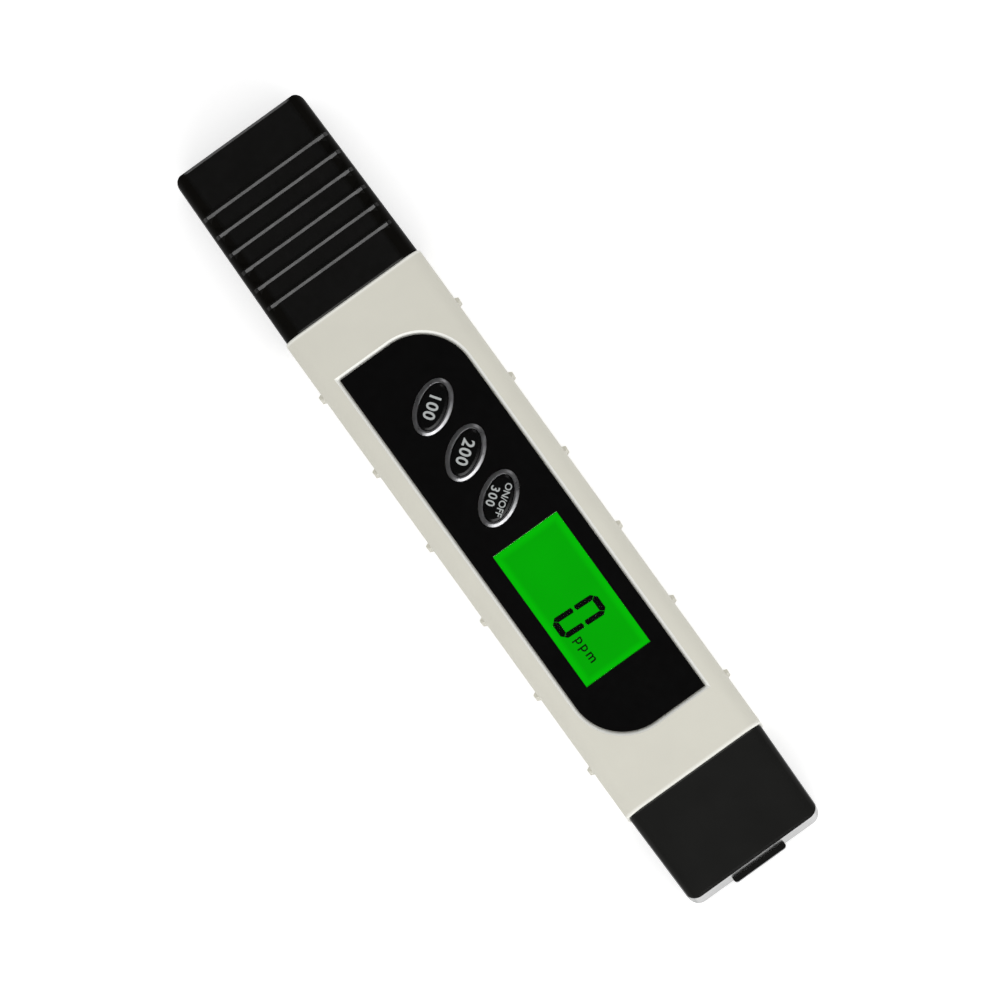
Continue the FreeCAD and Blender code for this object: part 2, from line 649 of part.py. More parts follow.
def key_set(name, x):
    """The ring, key, plunger and switch of one key."""
    ring = Piece(name + "_ring")
    outline = ring.sketch("XY", "recess_floor")
    ellipse(outline, x, "key_y", "ring_long", "ring_short", "key_tilt")
    ring.pad(outline, "panel_thick + ring_proud - ring_rise")
    foot = ring.sketch("XY", "panel_top + ring_proud - ring_rise")
    ellipse(foot, x, "key_y", "ring_long", "ring_short", "key_tilt")
    crest = ring.sketch("XY", "panel_top + ring_proud")
    ellipse(crest, x, "key_y", "ring_long - ring_slope", "ring_short - ring_slope", "key_tilt")
    ring.loft("AdditiveLoft", foot, crest)
    bore = ring.sketch("XY", "panel_top + ring_proud")
    ellipse(bore, x, "key_y", "ring_long - ring_wide", "ring_short - ring_wide", "key_tilt")
    ring.pocket(bore)

    key = Piece(name + "_key")
    lip = key.sketch("XY", "key_lip_low")
    turned_rectangle(lip, x, "key_y", "key_long + key_lip", "key_lip_half", "key_tilt")
    key.pad(lip, "key_lip_thick")
    head = key.sketch("XY", "key_lip_top")
    ellipse(head, x, "key_y", "key_long", "key_short", "key_tilt")
    key.pad(head, "panel_top + key_proud - key_dome_high - key_lip_top")
    edge = key.sketch("XY", "panel_top + key_proud - key_dome_high")
    ellipse(edge, x, "key_y", "key_long", "key_short", "key_tilt")
    top = key.sketch("XY", "panel_top + key_proud")
    ellipse(top, x, "key_y", "key_long - key_dome", "key_short - key_dome", "key_tilt")
    key.loft("AdditiveLoft", edge, top)

    switch = plate(name + "_switch", f"{x} - switch_size / 2", f"{x} + switch_size / 2",
                   "key_y - switch_size / 2", "key_y + switch_size / 2",
                   "board_top", "switch_height")
    switch.chamfer("switch_size / 10", lambda e: runs_along(e, "z"))
    well = switch.sketch("XY", "switch_top")
    half_well = "(plunger_size / 2 + plunger_gap)"
    rectangle(well, f"{x} - {half_well}", f"{x} + {half_well}",
              f"key_y - {half_well}", f"key_y + {half_well}")
    switch.pocket(well, "plunger_root + key_travel + plunger_gap")

    plate(name + "_switch_plunger", f"{x} - plunger_size / 2", f"{x} + plunger_size / 2",
          "key_y - plunger_size / 2", "key_y + plunger_size / 2",
          "switch_top - plunger_root", "key_lip_low - switch_top + plunger_root")


def display():
    """The glass sandwich, its light and the frame that holds them on the board."""
    plate("lcd_glass_front", "lcd_left", "lcd_right", "lcd_low", "lcd_high",
          "lcd_middle", "lcd_thick")
    plate("lcd_glass_rear", "lcd_left", "lcd_right", "rear_low", "lcd_high",
          "lcd_under", "lcd_thick")
    plate("diffuser_sheet", "lcd_left + guide_inset", "lcd_right - guide_inset",
          "rear_low + guide_inset", "lcd_high - guide_inset", "guide_top", "diffuser_thick")
    guide = plate("backlight_guide", "lcd_left + guide_inset", "lcd_right - guide_inset",
                  "rear_low + guide_inset", "lcd_high - guide_inset",
                  "board_top", "guide_top - board_top")
    notch = guide.sketch("XY", "board_top")
    rectangle(notch, "lcd_right - guide_inset - led_wide - 2 * led_gap",
              "lcd_right - guide_inset",
              "window_y - led_long / 2 - led_gap", "window_y + led_long / 2 + led_gap")
    guide.pocket(notch, "led_high + led_gap", back=True)
    plate("backlight_led", "lcd_right - guide_inset - led_wide - led_gap",
          "lcd_right - guide_inset - led_gap",
          "window_y - led_long / 2", "window_y + led_long / 2", "board_top", "led_high")
    plate("zebra_strip", "lcd_left + zebra_short / 2", "lcd_right - zebra_short / 2",
          "zebra_y - zebra_wide / 2", "zebra_y + zebra_wide / 2",
          "board_top", "lcd_middle - board_top")

    frame = plate("lcd_frame", "lcd_left - frame_wall", "lcd_right + frame_wall",
                  "lcd_low - frame_wall", "lcd_high + frame_wall",
                  "board_top", "lcd_top - board_top")
    for low, base in (("lcd_low", "lcd_middle"), ("rear_low", "lcd_under")):
        glass = frame.sketch("XY", "lcd_top")
        rectangle(glass, "lcd_left - lcd_clear", "lcd_right + lcd_clear",
                  f"{low} - lcd_clear", "lcd_high + lcd_clear")
        frame.pocket(glass, f"lcd_top - {base}")
    light = frame.sketch("XY", "lcd_top")
    rectangle(light, "lcd_left + guide_inset - lcd_clear", "lcd_right - guide_inset + lcd_clear",
              "rear_low + guide_inset - lcd_clear", "lcd_high - guide_inset + lcd_clear")
    frame.pocket(light)
    strip = frame.sketch("XY", "lcd_top")
    rectangle(strip, "lcd_left + zebra_short / 2 - lcd_clear",
              "lcd_right - zebra_short / 2 + lcd_clear",
              "zebra_y - zebra_wide / 2 - lcd_clear", "zebra_y + zebra_wide / 2 + lcd_clear")
    frame.pocket(strip)


def box(left, right, low, high, base, top):
    """A plain block for the small parts that share one node."""
    block = doc.addObject("Part::Box", "Block")
    bind(block, Placement__Base__x=left, Placement__Base__y=low, Placement__Base__z=base,
         Length=f"({right}) - ({left})", Width=f"({high}) - ({low})",
         Height=f"({top}) - ({base})")
    return block


def cylinder(x, y, base, top, radius):
    rod = doc.addObject("Part::Cylinder", "Rod")
    bind(rod, Placement__Base__x=x, Placement__Base__y=y, Placement__Base__z=base,
         Height=f"({top}) - ({base})", Radius=radius)
    return rod


def group(label, members):
    """Like pieces that share one node."""
    made = doc.addObject("Part::Compound", label)
    made.Label = label
    made.Links = members
    return made


def screw(x, y):
    """A pan-head screw from under the board into its boss."""
    made = doc.addObject("Part::MultiFuse", "Screw")
    made.Shapes = [cylinder(x, y, "board_under", "board_top + screw_reach", "screw_radius"),
                   cylinder(x, y, "board_under - screw_head_high", "board_under",
                            "screw_head_radius")]
    return made


def board():
    """The circuit board with what is soldered to its back."""
    base = plate("main_board", "board_left", "board_right", "-board_half", "board_half",
                 "board_under", "board_thick")
    holes = base.sketch("XY", "board_top")
    for x, y in screw_places:
        circle(holes, x, y, "screw_radius + board_hole_gap")
    base.pocket(holes)
    group("board_screws", [screw(x, y) for x, y in screw_places])

    chip = plate("controller_chip", "window_x - chip_size / 2", "window_x + chip_size / 2",
                 "-chip_size / 2", "chip_size / 2", "board_under - chip_high", "chip_high")
    chip.chamfer("chip_cut", lambda e: runs_along(e, "z"))
    amplifier = plate("amplifier_chip", "boss_left + amp_x", "boss_left + amp_x + amp_long",
                      "-amp_wide / 2", "amp_wide / 2", "board_under - amp_high", "amp_high")
    amplifier.chamfer("chip_cut", lambda e: near(e.CenterOfMass.z,
                                                 places.board_under - sizes.amp_high))
    crystal = Piece("crystal_can")
    outline = crystal.sketch("YZ", "window_x - chip_size / 2 - crystal_gap")
    circle(outline, "0", "board_under - crystal_radius", "crystal_radius")
    crystal.pad(outline, "crystal_long", back=True)
    for label, high, first, count, y in (
            ("chip_resistors", "resistor_high", "resistor_x", 6, "(amp_wide)"),
            ("chip_capacitors", "capacitor_high", "capacitor_x", 5, "(-amp_wide)")):
        row = []
        for i in range(count):
            x = f"({first} + {i} * passive_pitch)"
            row.append(box(f"{x} - passive_wide / 2", f"{x} + passive_wide / 2",
                           f"{y} - passive_long / 2", f"{y} + passive_long / 2",
                           f"board_under - {high}", "board_under"))
        group(label, row)


def drafted(piece, kind, side, start, length, draft, half, low, high, radius):
    """A rounded section that narrows evenly on all sides, away from the housing."""
    shrink = f"({length}) * tan({draft})"
    mouth = piece.sketch("YZ", f"{side} * ({start})")
    rounded(mouth, f"-({half})", half, low, high, radius)
    end = piece.sketch("YZ", f"{side} * ({start} + {length})")
    rounded(end, f"-({half}) + {shrink}", f"{half} - {shrink}", f"{low} + {shrink}",
            f"{high} - {shrink}", radius)
    piece.loft(kind, mouth, end)


def neck(label, side, length, draft):
    """The flange held by the shells and the drafted neck that a cap slides over."""
    fitting = Piece(label)
    back = side < 0
    flange = fitting.sketch("YZ", f"{side} * flange_in")
    cut_corners(flange, "inner_half + flange_proud", "wall - flange_proud",
                "ceiling + flange_proud", "(body_round - wall)")
    fitting.pad(flange, "flange_thick", back=back)
    inside = fitting.sketch("YZ", f"{side} * flange_out")
    rounded(inside, "-neck_half_wide", "neck_half_wide",
            "parting - neck_half_high", "parting + neck_half_high", "neck_round")
    fitting.pad(inside, "flange_inset", back=back)
    drafted(fitting, "AdditiveLoft", side, "half_length", length, draft, "neck_half_wide",
            "parting - neck_half_high", "parting + neck_half_high", "neck_round")
    return fitting


def probe_nose():
    """The fitting that carries the pins and closes the housing at the probe end."""
    nose = neck("probe_nose", -1, "neck_length", "probe_cap_taper")
    shrink = "(seal_at + seal_wide) * tan(probe_cap_taper)"
    groove = nose.sketch("YZ", "-half_length - seal_at")
    rectangle(groove, "-half_width", "half_width", "0", "body_height")
    rectangle(groove, f"-(neck_half_wide - seal_depth - {shrink})",
              f"neck_half_wide - seal_depth - {shrink}",
              f"parting - (neck_half_high - seal_depth - {shrink})",
              f"parting + neck_half_high - seal_depth - {shrink}")
    nose.pocket(groove, "seal_wide")

    body = nose.sketch("YZ", "-neck_end")
    rounded(body, "-probe_width / 2", "probe_width / 2",
            "parting - probe_height / 2", "parting + probe_height / 2", "probe_round")
    nose.pad(body, "probe_length + guard_length", back=True)
    gap = nose.sketch("XY", "body_height")
    rectangle(gap, "-probe_face - guard_length - wall", "-probe_face",
              "-probe_width / 2 + guard_thick", "probe_width / 2 - guard_thick")
    nose.pocket(gap, "body_height")
    nose.chamfer("guard_thick / 3",
                 lambda e: near(e.CenterOfMass.x, -places.probe_face - sizes.guard_length)
                 and runs_along(e, "z"))

    hollow = nose.sketch("YZ", "-flange_in")
    rectangle(hollow, "-neck_half_wide + neck_wall", "neck_half_wide - neck_wall",
              "parting - neck_half_high + neck_wall", "parting + neck_half_high - neck_wall")
    nose.pocket(hollow, "neck_hollow")
    pins = nose.sketch("YZ", "-probe_face")
    for side in (-1, 1):
        circle(pins, f"{side} * pin_pitch / 2", "parting", "pin_radius + bore_gap")
    nose.pocket(pins, "probe_face - flange_in", back=True)
    sensor = nose.sketch("YZ", "-probe_face")
    circle(sensor, "0", "parting", "sensor_radius + bore_gap")
    nose.pocket(sensor, "sensor_root", back=True)
    leads = nose.sketch("YZ", "-probe_face + sensor_root")
    for side in (-1, 1):
        rectangle(leads, f"{side} * lead_pitch / 2 - lead_size / 2 - bore_gap",
                  f"{side} * lead_pitch / 2 + lead_size / 2 + bore_gap",
                  "board_top - bore_gap", "board_top + lead_size + bore_gap")
    nose.pocket(leads, "probe_face - sensor_root - flange_in", back=True)


def probe_seal():
    """The rubber ring in the neck's groove that keeps the cap on."""
    seal = Piece("probe_seal")
    middle = "(seal_at + seal_wide / 2) * tan(probe_cap_taper)"
    deep = "(seal_at + seal_wide) * tan(probe_cap_taper)"
    outline = seal.sketch("YZ", "-half_length - seal_at")
    rounded(outline, f"-(inner_half - seal_gap - {middle})", f"inner_half - seal_gap - {middle}",
            f"wall + seal_gap + {middle}", f"ceiling - seal_gap - {middle}",
            "body_round - wall")
    seal.pad(outline, "seal_wide", back=True)
    bore = seal.sketch("YZ", "-half_length - seal_at")
    rectangle(bore, f"-(neck_half_wide - seal_depth - {deep})",
              f"neck_half_wide - seal_depth - {deep}",
              f"parting - (neck_half_high - seal_depth - {deep})",
              f"parting + neck_half_high - seal_depth - {deep}")
    seal.pocket(bore)


def probe_parts():
    """The two measuring pins and the temperature sensor with its leads."""
    for label, side in (("electrode_left", 1), ("electrode_right", -1)):
        pin = Piece(label)
        outline = pin.sketch("YZ", "-probe_face - pin_out")
        circle(outline, f"{side} * pin_pitch / 2", "parting", "pin_radius")
        pin.pad(outline, "probe_face + pin_out + board_left + pin_on_board")
    sensor = Piece("sensor_capsule")
    outline = sensor.sketch("YZ", "-probe_face - sensor_out")
    circle(outline, "0", "parting", "sensor_radius")
    sensor.pad(outline, "sensor_out + sensor_root")
    sensor.chamfer("sensor_radius / 3",
                   lambda e: near(e.CenterOfMass.x, -places.probe_face - sizes.sensor_out))
    leads = [box("-probe_face + sensor_root", "board_left + pin_on_board",
                 f"{side} * lead_pitch / 2 - lead_size / 2",
                 f"{side} * lead_pitch / 2 + lead_size / 2",
                 "board_top", "board_top + lead_size") for side in (-1, 1)]
    group("sensor_leads", leads)


def corner_outline(sketch, side_x, side_y, length, draft, corner):
    """What is cut from one plan corner of a cap's closed end to leave it round."""
    start = f"{side_x} * (half_length + {length} - {corner})"
    middle = f"{side_y} * (cap_half - {length} * tan({draft}) - {corner})"
    far_x, far_y = f"{side_x} * (half_length + {length} + wall)", f"{side_y} * half_width"
    reach = number(corner)
    centre = Vector(number(start), number(middle), 0)
    along, across = Vector(side_x * reach, 0, 0), Vector(0, side_y * reach, 0)
    bend = Part.Circle(centre, Vector(0, 0, 1), reach)
    turns = sorted(math.atan2(way.y, way.x) for way in (along, across))
    if turns[1] - turns[0] > math.pi:
        turns = [turns[1], turns[0] + 2 * math.pi]
    first = sketch.GeometryCount
    sketch.addGeometry(Part.ArcOfCircle(bend, *turns), False)
    arc_ends = [sketch.getPoint(first, 1), sketch.getPoint(first, 2)]
    at_end = 1 if (arc_ends[0] - centre - along).Length < (arc_ends[1] - centre - along).Length else 2
    at_side = 3 - at_end
    outer_x, outer_y = number(far_x), number(far_y)
    corners = [centre + along, Vector(outer_x, centre.y, 0), Vector(outer_x, outer_y, 0),
               Vector(centre.x, outer_y, 0), centre + across]
    for begin, finish in zip(corners, corners[1:]):
        sketch.addGeometry(Part.LineSegment(begin, finish), False)
    joins = [(first, at_end, first + 1, 1), (first + 1, 2, first + 2, 1),
             (first + 2, 2, first + 3, 1), (first + 3, 2, first + 4, 1),
             (first + 4, 2, first, at_side)]
    for join in joins:
        sketch.addConstraint(Sketcher.Constraint("Coincident", *join))
    for line, way in enumerate(("Horizontal", "Vertical", "Horizontal", "Vertical"), 1):
        sketch.addConstraint(Sketcher.Constraint(way, first + line))
    constrain(sketch, "DistanceX", start, -1, 1, first, 3)
    constrain(sketch, "DistanceY", middle, -1, 1, first, 3)
    constrain(sketch, "Radius", corner, first)
    constrain(sketch, "DistanceX", start, -1, 1, first, at_side)
    constrain(sketch, "DistanceY", middle, -1, 1, first, at_end)
    constrain(sketch, "DistanceX", far_x, -1, 1, first + 2, 2)
    constrain(sketch, "DistanceY", far_y, -1, 1, first + 3, 2)


def hollow_cap(label, side, length, draft, corner):
    """A drafted, hollow cap with round plan corners at its closed end."""
    cap = Piece(label)
    depth = f"({length} - cap_joint)"
    mouth_x, end_x = f"{side} * (half_length + cap_joint)", f"{side} * (half_length + {length})"
    shrink = f"{depth} * tan({draft})"
    plan = cap.sketch("XY")
    polygon(plan, [(mouth_x, "-cap_half"), (end_x, f"-cap_half + {shrink}"),
                   (end_x, f"cap_half - {shrink}"), (mouth_x, "cap_half")])
    cap.pad(plan, "body_height")
    wedges = cap.sketch("XZ")
    polygon(wedges, [(mouth_x, "0"), (end_x, "0"), (end_x, shrink)])
    polygon(wedges, [(mouth_x, "body_height"), (end_x, f"body_height - {shrink}"),
                     (end_x, "body_height")])
    cap.pocket(wedges, both=True)
    end = side * (places.half_length + getattr(sizes, length))
    cap.chamfer("end_edge", lambda e: near(e.CenterOfMass.x, end) and runs_along(e, "y"))
    cap.fillet("body_round", lambda e: runs_along(e, "x") and e.Length > sizes.body_height / 2)
    corners = cap.sketch("XY", "body_height")
    for across in (-1, 1):
        corner_outline(corners, side, across, length, draft, corner)
    cap.pocket(corners)
    drafted(cap, "SubtractiveLoft", side, "half_length + cap_joint", f"({depth} - wall)", draft,
            "inner_half", "wall", "ceiling", "body_round - wall")
    mouth = side * (places.half_length + sizes.cap_joint)
    cap.chamfer("edge_break", lambda e: near(e.CenterOfMass.x, mouth)
                and is_outer_rim(e, places.cap_half))
    return cap


def probe_cap():
    """The long cap over the probe, with grip ribs on its face."""
    cap = hollow_cap("probe_cap", -1, "probe_cap_length", "probe_cap_taper", "probe_cap_corner")
    for i in range(int(sizes.rib_count)):
        rib = cap.sketch("XZ")
        x = f"-half_length - rib_first - {i} * rib_pitch"
        face = f"body_height - (rib_first + {i} * rib_pitch) * tan(probe_cap_taper)"
        polygon(rib, [(f"{x} - rib_root", f"{face} - rib_sink"),
                      (f"{x} + rib_root", f"{face} - rib_sink"),
                      (f"{x} + rib_tip", f"{face} + rib_high"),
                      (f"{x} - rib_tip", f"{face} + rib_high")])
        cap.pad(rib, "rib_length", both=True)


def battery_cap():
    """The short cap over the cells, with a pull lip for a fingernail."""
    cap = hollow_cap("battery_cap", 1, "battery_cap_length", "battery_cap_taper",
                     "battery_cap_corner")
    lip = cap.sketch("XY", "pull_low")
    rectangle(lip, "half_length + battery_cap_length - wall / 2",
              "half_length + battery_cap_length + pull_proud",
              "-pull_width / 2", "pull_width / 2")
    cap.pad(lip, "pull_high - pull_low")
    tip = places.half_length + sizes.battery_cap_length + sizes.pull_proud
    cap.fillet("pull_round", lambda e: runs_along(e, "z") and near(e.CenterOfMass.x, tip))


def battery_tray():
    """The fitting at the other end: a neck cut down to a tray for two button cells."""
    tray = neck("battery_tray", 1, "tray_length", "battery_cap_taper")
    step = tray.sketch("XY", "body_height")
    rectangle(step, "half_length + tray_step", "tray_end + wall", "-half_width", "half_width")
    tray.pocket(step, "body_height - cell_top - tray_lip")
    for side in (-1, 1):
        wells = tray.sketch("XY", "body_height")
        circle(wells, "cell_x", f"{side} * cell_pitch / 2", "cell_well")
        tray.pocket(wells, "body_height - tray_floor")
    bridge = tray.sketch("XY", "body_height")
    rectangle(bridge, "cell_x + cell_face + contact_gap",
              "cell_x + cell_radius + contact_thick + contact_gap",
              "-cell_pitch / 2 - contact_width / 2 - contact_gap",
              "cell_pitch / 2 + contact_width / 2 + contact_gap")
    tray.pocket(bridge, "body_height - tray_floor")
    side_slot = tray.sketch("XY", "body_height")
    rectangle(side_slot, "cell_x - cell_radius - contact_thick - contact_gap", "cell_x - cell_face",
              "-cell_pitch / 2 - contact_width / 2 - contact_gap",
              "-cell_pitch / 2 + contact_width / 2 + contact_gap")
    tray.pocket(side_slot, "body_height - tray_floor")
    channels = tray.sketch("YZ", "flange_in")
    for side in (-1, 1):
        rectangle(channels, f"{side} * cell_pitch / 2 - contact_width / 2 - contact_gap",
                  f"{side} * cell_pitch / 2 + contact_width / 2 + contact_gap",
                  "tray_floor", "tray_floor + contact_thick + contact_gap")
    tray.pocket(channels, "cell_x - flange_in", back=True)


def cells():
    """Two button cells side by side, negative faces down."""
    for label, side in (("button_cell_left", 1), ("button_cell_right", -1)):
        cell = Piece(label)
        can = cell.sketch("XY", "cell_low")
        circle(can, "cell_x", f"{side} * cell_pitch / 2", "cell_radius")
        cell.pad(can, "cell_height")


def contacts():
    """Spring strips: one under each cell, one up the side of each, with two board tails."""
    tail = "board_right - contact_tail"
    negative = Piece("contact_negative")
    outline = negative.sketch("XZ", "-cell_pitch / 2")
    polygon(outline, [("cell_x + cell_face / 2", "tray_floor"),
                      ("cell_x + cell_face / 2", "cell_low"),
                      (f"{tail} + contact_thick", "cell_low"),
                      (f"{tail} + contact_thick", "board_under"),
                      (tail, "board_under"),
                      (tail, "tray_floor")])
    negative.pad(outline, "contact_width", both=True)

    positive = Piece("contact_positive")
    outline = positive.sketch("XZ", "cell_pitch / 2")
    side_x = "cell_x - cell_radius"
    polygon(outline, [(side_x, "tray_floor"),
                      (side_x, "cell_low + contact_rise"),
                      (f"{side_x} - contact_thick", "cell_low + contact_rise"),
                      (f"{side_x} - contact_thick", "cell_low"),
                      (f"{tail} + contact_thick", "cell_low"),
                      (f"{tail} + contact_thick", "board_under"),
                      (tail, "board_under"),
                      (tail, "tray_floor")])
    positive.pad(outline, "contact_width", both=True)

    bridge = Piece("contact_bridge")
    floor = bridge.sketch("XY", "tray_floor")
    outer_x = "cell_x + cell_radius + contact_thick"
    inner_x = "cell_x + cell_face + 2 * contact_gap"
    polygon(floor, [(outer_x, "cell_pitch / 2 + contact_width / 2"),
                    (inner_x, "cell_pitch / 2 + contact_width / 2"),
                    (inner_x, "-cell_pitch / 2 + contact_width / 2"),
                    ("cell_x - cell_face / 2", "-cell_pitch / 2 + contact_width / 2"),
                    ("cell_x - cell_face / 2", "-cell_pitch / 2 - contact_width / 2"),
                    (outer_x, "-cell_pitch / 2 - contact_width / 2")])
    bridge.pad(floor, "contact_thick")
    tab = bridge.sketch("XY", "tray_floor")
    rectangle(tab, "cell_x + cell_radius", outer_x,
              "cell_pitch / 2 - contact_width / 2", "cell_pitch / 2 + contact_width / 2")
    bridge.pad(tab, "contact_rise + contact_thick")


front_shell()
rear_shell()
face_panel()
display_window()
for key_name, key_x in zip(key_names, key_places):
    key_set(key_name, key_x)
display()
board()
probe_nose()
probe_seal()
probe_parts()
probe_cap()
battery_tray()
cells()
contacts()
battery_cap()
doc.recompute()

for thing in doc.Objects:
    if "Invalid" in thing.State or "Error" in thing.State:
        raise RuntimeError(f"{thing.Name} failed: {thing.State}")
nodes = [thing for thing in doc.Objects
         if thing.isDerivedFrom("PartDesign::Body") or thing.isDerivedFrom("Part::Compound")]
for node in nodes:
    if node.Shape.isNull() or not node.Shape.isValid():
        raise RuntimeError(f"{node.Label} has no valid shape")

os.makedirs("parts", exist_ok=True)
for node in nodes:
    node.Shape.exportStep(f"parts/{node.Label}.step")
    box_size = node.Shape.BoundBox
    print(f"{node.Label:22s} solids {len(node.Shape.Solids)}  volume {node.Shape.Volume:9.1f}  "
          f"x {box_size.XMin:7.2f} {box_size.XMax:7.2f}  y {box_size.YMin:7.2f} {box_size.YMax:7.2f}  "
          f"z {box_size.ZMin:6.2f} {box_size.ZMax:6.2f}")
print(len(nodes), "nodes")
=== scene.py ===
import json
import math
import bmesh
import bpy
from mathutils import Matrix, Vector


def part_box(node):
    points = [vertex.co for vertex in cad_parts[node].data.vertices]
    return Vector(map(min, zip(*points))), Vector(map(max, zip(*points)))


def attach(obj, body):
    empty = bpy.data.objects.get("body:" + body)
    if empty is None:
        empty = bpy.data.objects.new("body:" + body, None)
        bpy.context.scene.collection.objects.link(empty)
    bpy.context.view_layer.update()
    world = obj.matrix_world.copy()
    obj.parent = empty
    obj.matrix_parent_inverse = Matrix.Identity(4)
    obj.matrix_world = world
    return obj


# Looks for the dissolved solids meter: finishes, legends, lit display, floor, light and camera.
# Lengths are in millimetres in the dictionaries and in metres everywhere in Blender.

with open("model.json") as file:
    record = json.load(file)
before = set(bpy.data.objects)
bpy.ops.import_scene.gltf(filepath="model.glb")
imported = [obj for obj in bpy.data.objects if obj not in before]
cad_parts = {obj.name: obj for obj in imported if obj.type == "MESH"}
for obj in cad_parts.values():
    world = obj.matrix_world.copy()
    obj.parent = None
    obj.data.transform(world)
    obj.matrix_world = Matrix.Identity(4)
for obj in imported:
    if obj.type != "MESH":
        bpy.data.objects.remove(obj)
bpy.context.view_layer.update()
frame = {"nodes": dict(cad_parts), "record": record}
nodes = frame["nodes"]
mm = 0.001
print("meter loaded with", len(nodes), "pieces")


# The curve of a screen: straight in the darkest tones, then a power
screenCurve = {"top": 255, "darkEnd": 0.04045, "darkSlope": 12.92, "lift": 0.055, "power": 2.4}


def screenColour(*levels):
    # levels of 0 to 255 as a screen shows them, turned into the linear ones that shaders take
    curve, linear = screenCurve, []
    for level in levels:
        share = level / curve["top"]
        if share <= curve["darkEnd"]:
            linear.append(share / curve["darkSlope"])
        else:
            linear.append(((share + curve["lift"]) / (1 + curve["lift"])) ** curve["power"])
    return (*linear, 1.0)


def scaled(colour, factor):
    return (*(min(1.0, part * factor) for part in colour[:3]), 1.0)


def startMaterial(name):
    material = bpy.data.materials.new(name)
    material.use_nodes = True
    return material, material.node_tree, material.node_tree.nodes["Principled BSDF"]


def plug(tree, socket, value):
    # another node's output is linked, anything else is set on the socket itself
    if isinstance(value, bpy.types.NodeSocket):
        tree.links.new(value, socket)
    else:
        socket.default_value = value


def objectPlace(tree):
    return tree.nodes.new("ShaderNodeTexCoord").outputs["Object"]


def placeParts(tree):
    # along the pen, across it and up
    parts = tree.nodes.new("ShaderNodeSeparateXYZ")
    tree.links.new(objectPlace(tree), parts.inputs["Vector"])
    return parts.outputs["X"], parts.outputs["Y"], parts.outputs["Z"]


def blotches(tree, width, detail, stretch=(1, 1, 1)):
    # noise over the object, its blotches about this many millimetres wide, longer where stretched
    mapping = tree.nodes.new("ShaderNodeMapping")
    mapping.inputs["Scale"].default_value = [1 / (width * mm * part) for part in stretch]
    noise = tree.nodes.new("ShaderNodeTexNoise")
    noise.inputs["Scale"].default_value = 1.0
    noise.inputs["Detail"].default_value = detail
    tree.links.new(objectPlace(tree), mapping.inputs["Vector"])
    tree.links.new(mapping.outputs["Vector"], noise.inputs["Vector"])
    return noise.outputs["Fac"]


noiseRange = (0.3, 0.7)                             # where nearly all of a noise's values lie


def spreadTo(tree, value, low, high, usual=noiseRange):
    # a value taken from its usual range to another
    spread = tree.nodes.new("ShaderNodeMapRange")
    spread.inputs["From Min"].default_value, spread.inputs["From Max"].default_value = usual
    spread.inputs["To Min"].default_value, spread.inputs["To Max"].default_value = low, high
    tree.links.new(value, spread.inputs["Value"])
    return spread.outputs["Result"]


def combined(tree, operation, first, second=0):
    maths = tree.nodes.new("ShaderNodeMath")
    maths.operation = operation
    plug(tree, maths.inputs[0], first)
    plug(tree, maths.inputs[1], second)
    return maths.outputs[0]


def between(tree, factor, first, second):
    mix = tree.nodes.new("ShaderNodeMix")
    mix.data_type = "RGBA"
    plug(tree, mix.inputs["A"], first)
    plug(tree, mix.inputs["B"], second)
    tree.links.new(factor, mix.inputs["Factor"])
    return mix.outputs["Result"]


def bumpFrom(tree, height, depth):
    bump = tree.nodes.new("ShaderNodeBump")
    bump.inputs["Strength"].default_value = 1
    bump.inputs["Distance"].default_value = depth * mm
    tree.links.new(height, bump.inputs["Height"])
    return bump.outputs["Normal"]


def below(tree, value, limit, blur):
    # 1 under a limit in millimetres, 0 over it
    return spreadTo(tree, value, 1, 0, ((limit - blur) * mm, (limit + blur) * mm))


def withinBand(tree, value, low, high, blur):
    # 1 between two limits in millimetres, 0 elsewhere
    rise = spreadTo(tree, value, 0, 1, ((low - blur) * mm, (low + blur) * mm))
    return combined(tree, "MULTIPLY", rise, below(tree, value, high, blur))


def withPaintedHighlight(tree, tint, edges):
    # painted highlight: the slope round the panel and the shells' ends are painted lighter than the
    # face, standing in for the light they catch
    x, y, z = placeParts(tree)
    along, across = combined(tree, "ABSOLUTE", x), combined(tree, "ABSOLUTE", y)
    blur = edges["slopeBlur"]
    slope = withinBand(tree, z, *edges["slopeZ"], blur)
    slope = combined(tree, "MULTIPLY", slope, below(tree, across, edges["slopeAcross"], blur))
    slope = combined(tree, "MULTIPLY", slope, below(tree, along, edges["slopeAlong"], blur))
    ends = withinBand(tree, along, *edges["ends"], edges["endBlur"])
    ends = combined(tree, "MULTIPLY", ends, edges["endShare"])
    share = combined(tree, "MAXIMUM", slope, ends)
    return between(tree, share, tint, screenColour(*edges["colour"]))


def onRibSlopes(tree, along, ribs):
    # how much farther out the gloss reaches on the ribs' own slopes, and 0 between them
    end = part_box("front_shell")[0].x
    first = end - ribs["first"] * mm
    last = first - (ribs["count"] - 1) * ribs["pitch"] * mm
    step = combined(tree, "SUBTRACT", along, last - ribs["margin"] * mm)
    step = combined(tree, "MODULO", step, ribs["pitch"] * mm)
    slope = withinBand(tree, step, 0, ribs["margin"] + ribs["slope"], ribs["blur"])
    beside = ribs["beside"]
    row = withinBand(tree, along, last / mm - beside, first / mm + beside, ribs["blur"])
    onSlope = combined(tree, "MULTIPLY", slope, row)
    return combined(tree, "MULTIPLY", onSlope, ribs["farther"] * mm)


def sideGloss(tree, shine, sides):
    # the gloss fades over the cap's long rounded sides
    along, across, _ = placeParts(tree)
    across = combined(tree, "ABSOLUTE", across)
    if "ribs" in sides:
        across = combined(tree, "SUBTRACT", across, onRibSlopes(tree, along, sides["ribs"]))
    return spreadTo(tree, across, shine, sides["shine"], (sides["start"] * mm, sides["full"] * mm))


